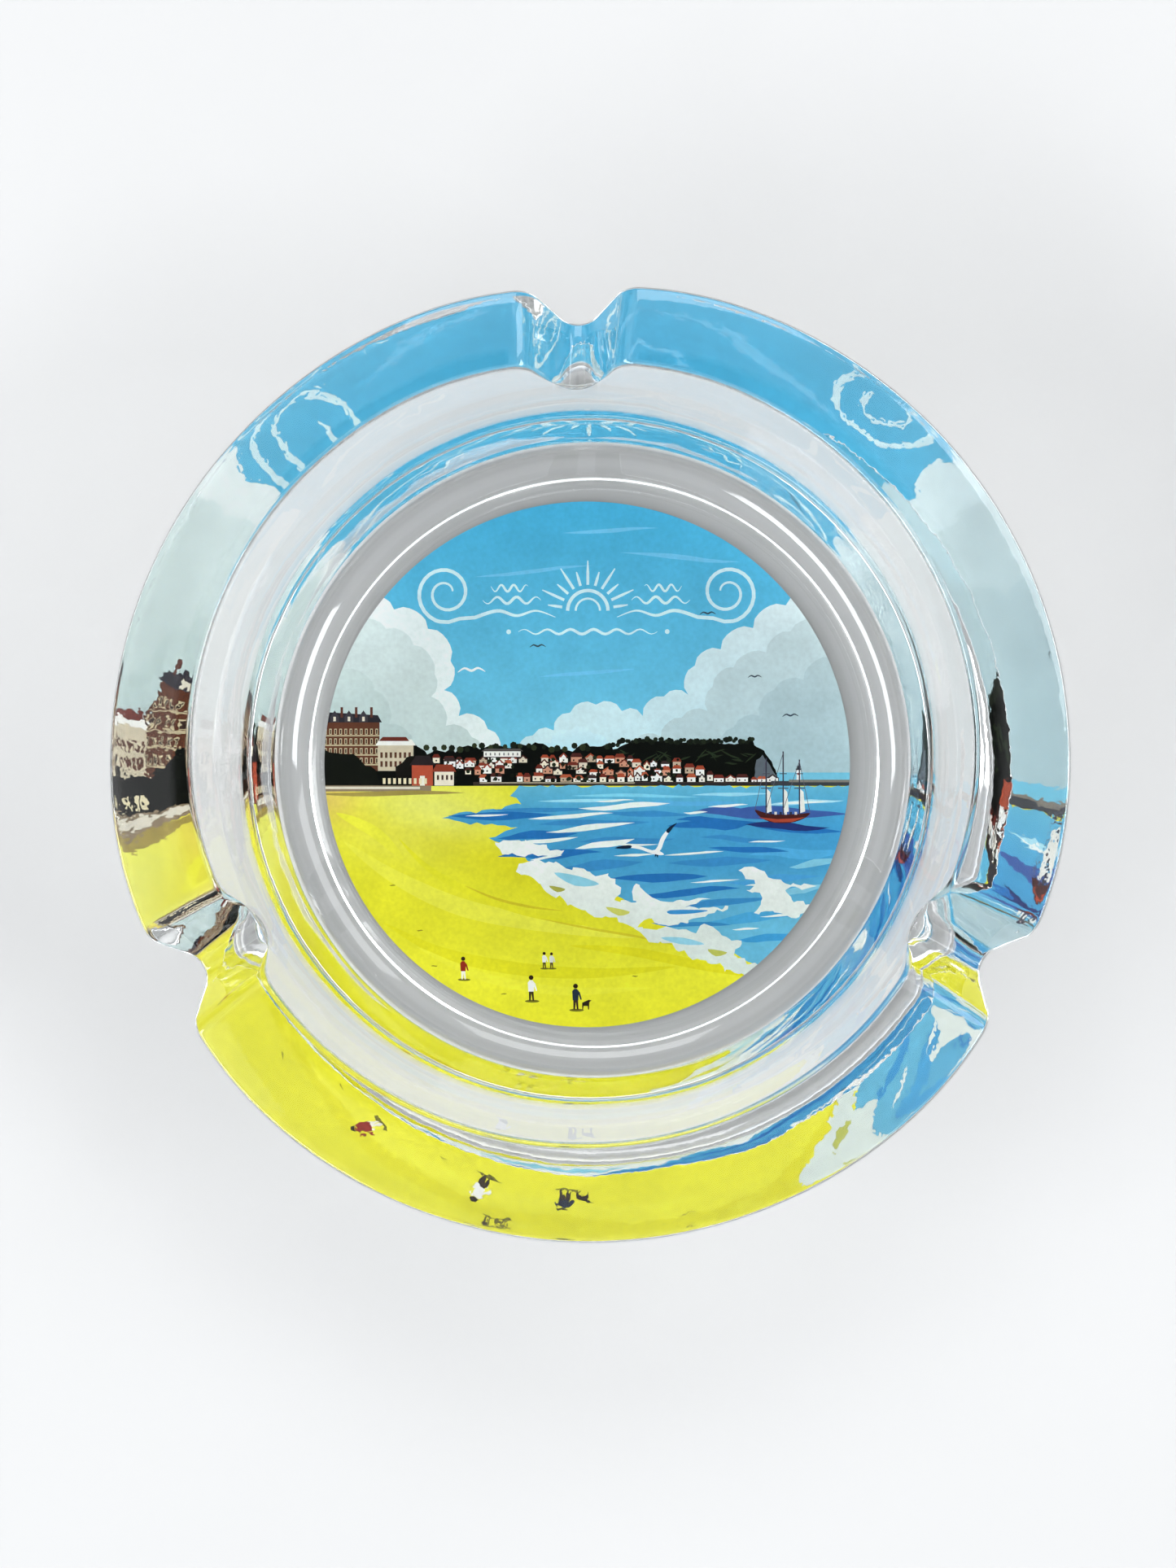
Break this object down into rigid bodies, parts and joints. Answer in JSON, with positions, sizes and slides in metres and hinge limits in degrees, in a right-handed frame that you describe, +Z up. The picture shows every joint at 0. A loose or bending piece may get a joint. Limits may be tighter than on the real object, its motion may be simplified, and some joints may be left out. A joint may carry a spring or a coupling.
{
  "type": "souvenir glass ashtray",
  "caption": "Round clear pressed-glass ashtray with flared wall, cigarette rests in the rim and a seaside picture disc bonded under the base.",
  "frame": {"origin": "centre of the flat foot that the glass stands on", "axes": "+Z up out of the bowl; +Y towards the rest at the top of the picture; +X to the picture's right"},
  "size_m": [0.1053, 0.1048, 0.0288],
  "materials": {
    "clear_glass": "fire-polished clear soda-lime glass",
    "clear_adhesive": "clear acrylic adhesive",
    "printed_film": "colour print on film",
    "white_film": "satin white vinyl film"
  },
  "bodies": {
    "root": {"glass_body": "clear_glass", "clear_adhesive_layer": "clear_adhesive", "picture_print_film": "printed_film", "white_backing_film": "white_film"}
  },
  "joints": []
}
